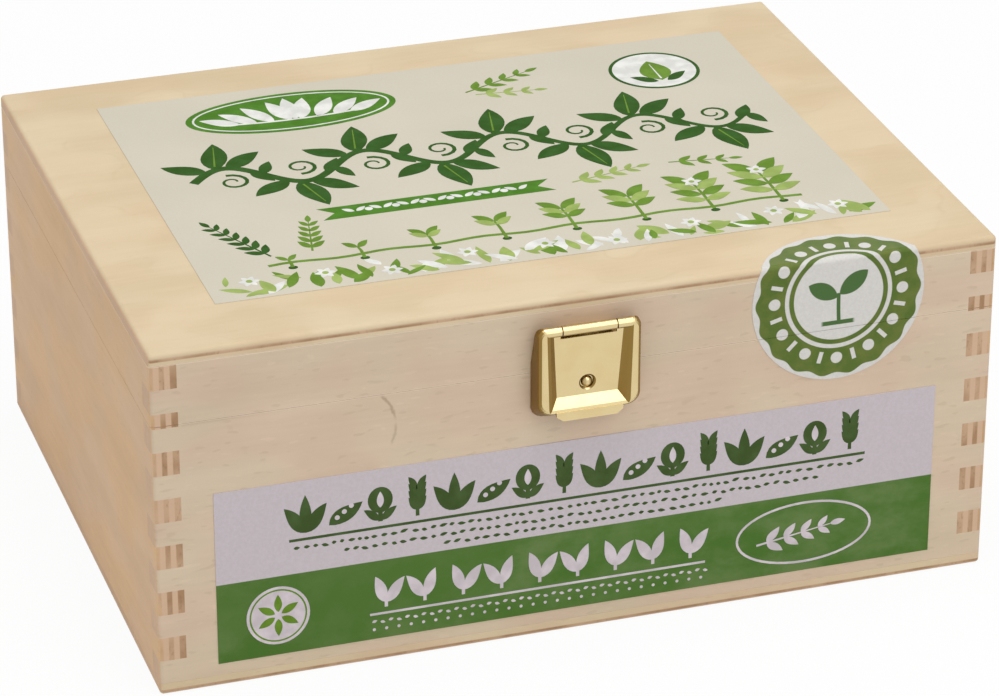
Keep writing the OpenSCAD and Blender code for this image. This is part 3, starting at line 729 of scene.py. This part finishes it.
def growth_row(art, half_length, base, stages):
    """Stages of a plant growing from seed to full leaf, along a line of soil."""
    soil = [(-half_length + 2 * half_length * i / 40,
             base + 0.5 * math.sin(i * 0.9)) for i in range(41)]
    art.add(stroke(soil, 1.1), "leaf", 2)
    for k in range(stages):
        x = -half_length * 0.92 + 2 * half_length * 0.92 * k / (stages - 1)
        height = 1.8 + 1.9 * k
        art.add(disc(x, base - 2.4, 1.15, 14, 0.75), "dark", 3)
        art.add(stroke([(x, base - 2.2), (x + 0.2, base + height * 0.5), (x, base + height)], 0.9, 0.6),
                "leaf", 3)
        for pair in range(1 + k // 2):
            y = base + height * (1 - 0.24 * pair)
            size = 3.6 + 0.85 * k - 0.5 * pair
            tone = "pale" if pair % 2 else "leaf"
            for side in (-1, 1):
                lean = math.radians(90 - side * (52 + 9 * pair))
                art.add(leaf(x, y, lean, size, size * 0.45, side * size * 0.12), tone, 3 + pair)
        if k > stages - 3:
            for i in range(5):
                petal = math.tau * i / 5
                art.add(leaf(x, base + height + 1.2, petal, 2.6, 1.6), "white", 7)
            art.add(disc(x, base + height + 1.2, 0.7, 12), "pale", 8)


def meadow(art, half_length, low, high, count):
    """Loose leaves, blades and small flowers strewn along the label's lower edge."""
    rng = random.Random(7)
    for i in range(count):
        x = -half_length + 2 * half_length * (i + rng.uniform(0.1, 0.9)) / count
        tone = rng.choice(("pale", "pale", "leaf", "leaf", "white", "white"))
        turn = rng.uniform(20, 160)
        length = rng.uniform(5, 9.5)
        foot = low + rng.uniform(0.0, 1.0) * (high - low - length) * abs(math.cos(i * 0.37))
        art.add(leaf(x, foot, math.radians(turn), length, length * rng.uniform(0.26, 0.46),
                     rng.uniform(-1.2, 1.2)), tone, 1)
    for i in range(9):
        x = -half_length * 0.93 + 2 * half_length * 0.93 * i / 8 + rng.uniform(-3, 3)
        y = rng.uniform(low + 3, high - 4)
        for k in range(6):
            art.add(leaf(x, y, math.tau * k / 6, 2.7, 1.5), "white", 2)
        art.add(disc(x, y, 0.8, 12), "pale", 3)


def top_art(inks):
    """Print of the lid's label. Places are in millimetres from the label's middle."""
    centre = (label_low + label_high) / 2
    art = Print("top_label_print",
                lambda x, y, lift: Vector((centre.x + x * MM, centre.y + y * MM, label_high.z + lift)))
    vine(art, 7, 71, 6.5, 4)
    plaque(art, -37, 42, 27, 11.6)
    banner(art, -18, -19.5, 29, 3.3)
    meadow(art, 79, -57.5, -44, 74)
    growth_row(art, 66, -43, 8)
    # Round mark with a seed drop, on the right
    art.add(disc(58, 39, 11.5, 48), "white", 1)
    ring(art, 58, 39, 11.2, 0.9, "dark", 2)
    art.add(leaf(58, 32.5, math.radians(90), 12.5, 8), "leaf", 3)
    art.add(stroke([(58, 33.5), (58, 43)], 0.5, 0.4), "white", 4)
    for side in (-1, 1):
        art.add(leaf(58 + side * 1.2, 32, math.radians(90 - side * 62), 7.5, 3.0, side * 0.9), "dark", 3)
    # Dark fern fronds at the left, and short sprigs in the back corner and beside the bar
    sprig(art, -64, -38, math.radians(116), 22, 6, "dark", 5.2)
    sprig(art, -54, -38, math.radians(78), 16, 5, "leaf", 5.0)
    sprig(art, 8, 40, math.radians(24), 20, 4, "leaf", 5.6)
    sprig(art, 10, 38, math.radians(-6), 15, 3, "pale", 4.8)
    sprig(art, 16, -20, math.radians(12), 18, 4, "pale", 5.4)
    sprig(art, 42, -16, math.radians(-8), 15, 3, "leaf", 4.8)
    return art.finish(inks, "lid")


def front_art(inks):
    """Print of the front label. Places are in millimetres from the middle of its lower edge."""
    middle = (front_low.x + front_high.x) / 2
    art = Print("front_label_print",
                lambda x, y, lift: Vector((middle + x * MM, front_low.y - lift, front_low.z + y * MM)))
    # Bold row on the lilac part: leaves, a pod, a bud and an ear of grain by turns
    count = 16
    for i in range(count):
        x = -67 + 134 * i / (count - 1)
        kind = i % 4
        if kind == 0:
            for side in (-1, 1):
                art.add(leaf(x, 31.0, math.radians(90 - side * 42), 8.6, 3.3, side * 0.9), "moss", 1)
            art.add(leaf(x, 31.0, math.radians(90), 9.8, 2.9), "moss", 2)
        elif kind == 1:
            art.add(leaf(x - 3.4, 32.0, math.radians(38), 9.4, 4.0, -1.1), "moss", 1)
            for k in range(3):
                art.add(disc(x - 1.4 + 1.7 * k, 33.7 + 1.3 * k, 0.62, 12), "mauve", 2)
        elif kind == 2:
            art.add(disc(x, 36.6, 3.0, 24, 1.12), "moss", 1)
            art.add(stroke([(x, 31.0), (x, 34.5)], 1.1), "moss", 1)
            for side in (-1, 1):
                art.add(leaf(x, 31.4, math.radians(90 - side * 58), 5.0, 2.0, side * 0.5), "moss", 1)
            art.add(leaf(x, 34.6, math.radians(90), 4.2, 1.7), "mauve", 2)
        else:
            art.add(stroke([(x, 31.0), (x, 39.0)], 0.9, 0.6), "moss", 1)
            for k in range(4):
                for side in (-1, 1):
                    art.add(leaf(x, 32.6 + 1.8 * k, math.radians(90 - side * 38), 4.0, 1.7, side * 0.4),
                            "moss", 1)
    art.add(stroke([(-71, 29.4), (71, 29.4)], 0.7), "moss", 1)
    # Three rows of seeds below it
    rng = random.Random(11)
    for row, reach in ((27.3, 70), (24.9, 58), (22.6, 34)):
        x = -reach
        while x < reach:
            size = rng.uniform(1.1, 2.1)
            art.add(leaf(x, row, rng.uniform(-0.3, 0.3), size, 0.85, 0.0, 5), "moss", 1)
            x += size + rng.uniform(0.4, 0.9)
    # Pale plants on the green part, a ruled line, seeds and an oval at the right
    count = 9
    for i in range(count):
        x = -48 + 9.4 * i
        lean = 8 if i % 2 else -8
        for side in (-1, 1):
            art.add(leaf(x, 9.4, math.radians(90 - side * 34 + lean), 7.6, 2.9, side * 0.8), "mauve", 1)
        art.add(stroke([(x, 8.2), (x, 10.4)], 0.8), "mauve", 1)
    art.add(stroke([(-52, 6.6), (31, 6.6)], 0.6), "mauve", 1)
    for i in range(42):
        art.add(leaf(-51.5 + 2 * i, 4.5, 0.3 * (-1) ** i, 1.3, 0.75, 0.0, 5), "mauve", 1)
    for i in range(28):
        art.add(disc(-51 + 3 * i, 2.5, 0.4, 10), "mauve", 1)
    ring(art, 56, 10.4, 17, 0.6, "mauve", 1, 0.47)
    sprig(art, 44, 8.6, math.radians(9), 19, 4, "mauve", 5.2)
    art.add(disc(-74, 10.4, 7.6, 40), "mauve", 1)
    ring(art, -74, 10.4, 6.7, 0.4, "leaf", 2)
    for i in range(6):
        turn = math.tau * i / 6 + math.radians(30)
        art.add(leaf(-74 + 0.9 * math.cos(turn), 10.4 + 0.9 * math.sin(turn), turn, 4.6, 1.9), "leaf", 2)
    return art.finish(inks, "base")


# Studio

FLOOR_DROP = 0.1 * MM
FLOOR_HALF_WIDTH = 6.0
AMBIENT = 0.52
LAMP_AIM = Vector((0.0, 0.0, 0.05))
LAMP_DISTANCE = 1.25
CAMERA_PLACE = (-299.8 * MM, -943.0 * MM, 530.8 * MM)
CAMERA_LOOK = Vector((0.27495, 0.85161, -0.44628))
CAMERA_LENS = 160.53


def floor_material():
    """White floor that the camera and reflections see as background, with a soft shadow kept."""
    nodes = Nodes("floor_white")
    path = nodes.tree.nodes.new("ShaderNodeLightPath")
    seen = nodes.larger(Field(nodes, path.outputs["Is Camera Ray"]),
                        nodes.larger(Field(nodes, path.outputs["Is Glossy Ray"]),
                                     Field(nodes, path.outputs["Is Transmission Ray"])))
    diffuse = nodes.tree.nodes.new("ShaderNodeBsdfDiffuse")
    diffuse.inputs["Color"].default_value = (0.9, 0.9, 0.9, 1.0)
    glow = nodes.tree.nodes.new("ShaderNodeEmission")
    both = nodes.tree.nodes.new("ShaderNodeMixShader")
    nodes.set(both.inputs["Fac"], seen * 0.93)
    nodes.tree.links.new(diffuse.outputs[0], both.inputs[1])
    nodes.tree.links.new(glow.outputs[0], both.inputs[2])
    nodes.tree.links.new(both.outputs[0], nodes.output.inputs["Surface"])
    return nodes.material


def make_floor():
    """Large floor, a little under the box, so that the two don't lie in one plane."""
    mesh = bpy.data.meshes.new("floor")
    shape = bmesh.new()
    bmesh.ops.create_grid(shape, x_segments=1, y_segments=1, size=FLOOR_HALF_WIDTH)
    shape.to_mesh(mesh)
    shape.free()
    mesh.materials.append(floor_material())
    floor = bpy.data.objects.new("floor", mesh)
    floor.location.z = -FLOOR_DROP
    bpy.context.scene.collection.objects.link(floor)


def make_world(ambient):
    """Even light of strength ambient, which the camera and reflections see as plain white."""
    world = bpy.data.worlds.new("studio")
    bpy.context.scene.world = world
    world.use_nodes = True
    tree = world.node_tree
    tree.nodes.clear()
    output = tree.nodes.new("ShaderNodeOutputWorld")
    path = tree.nodes.new("ShaderNodeLightPath")
    seen = path.outputs["Is Camera Ray"]
    for name in ("Is Glossy Ray", "Is Transmission Ray"):
        either = tree.nodes.new("ShaderNodeMath")
        either.operation = "MAXIMUM"
        tree.links.new(seen, either.inputs[0])
        tree.links.new(path.outputs[name], either.inputs[1])
        seen = either.outputs[0]
    soft = tree.nodes.new("ShaderNodeBackground")
    soft.inputs["Strength"].default_value = ambient
    white = tree.nodes.new("ShaderNodeBackground")
    white.inputs["Color"].default_value = (1.0, 1.0, 1.0, 1.0)
    soft.inputs["Color"].default_value = (1.0, 1.0, 1.0, 1.0)
    both = tree.nodes.new("ShaderNodeMixShader")
    tree.links.new(seen, both.inputs["Fac"])
    tree.links.new(soft.outputs[0], both.inputs[1])
    tree.links.new(white.outputs[0], both.inputs[2])
    tree.links.new(both.outputs[0], output.inputs["Surface"])


def make_lamp(name, direction, size, power):
    """Square lamp in the given direction, turned towards the box."""
    light = bpy.data.lights.new(name, "AREA")
    light.shape = "SQUARE"
    light.size = size
    light.energy = power
    lamp = bpy.data.objects.new(name, light)
    bpy.context.scene.collection.objects.link(lamp)
    away = Vector(direction).normalized()
    lamp.location = LAMP_AIM + away * LAMP_DISTANCE
    lamp.rotation_euler = away.to_track_quat("Z", "Y").to_euler()


def make_camera():
    """The photograph's camera: left of the front, above, and far away with a long lens."""
    camera = bpy.data.cameras.new("camera")
    camera.sensor_width = 36
    camera.lens = CAMERA_LENS
    camera.clip_end = 20
    eye = bpy.data.objects.new("camera", camera)
    bpy.context.scene.collection.objects.link(eye)
    eye.location = CAMERA_PLACE
    eye.rotation_euler = CAMERA_LOOK.to_track_quat("-Z", "Y").to_euler()
    bpy.context.scene.camera = eye


make_camera()
dress(make_wood())
dress(make_brass())
seal = seal_paper()
dress({"top_label": top_paper(), "front_label": front_paper(), "seal_upper": seal, "seal_lower": seal})
ink_materials = {name: ink(name, colour) for name, colour in INKS.items()}
top_art(ink_materials)
front_art(ink_materials)

make_floor()
make_world(AMBIENT)
make_lamp("key", (-0.02, -0.13, 1.0), 0.75, 7.0)
make_lamp("front", (0.25, -0.72, 0.65), 0.8, 2.9)
bpy.context.scene.view_settings.view_transform = "Standard"
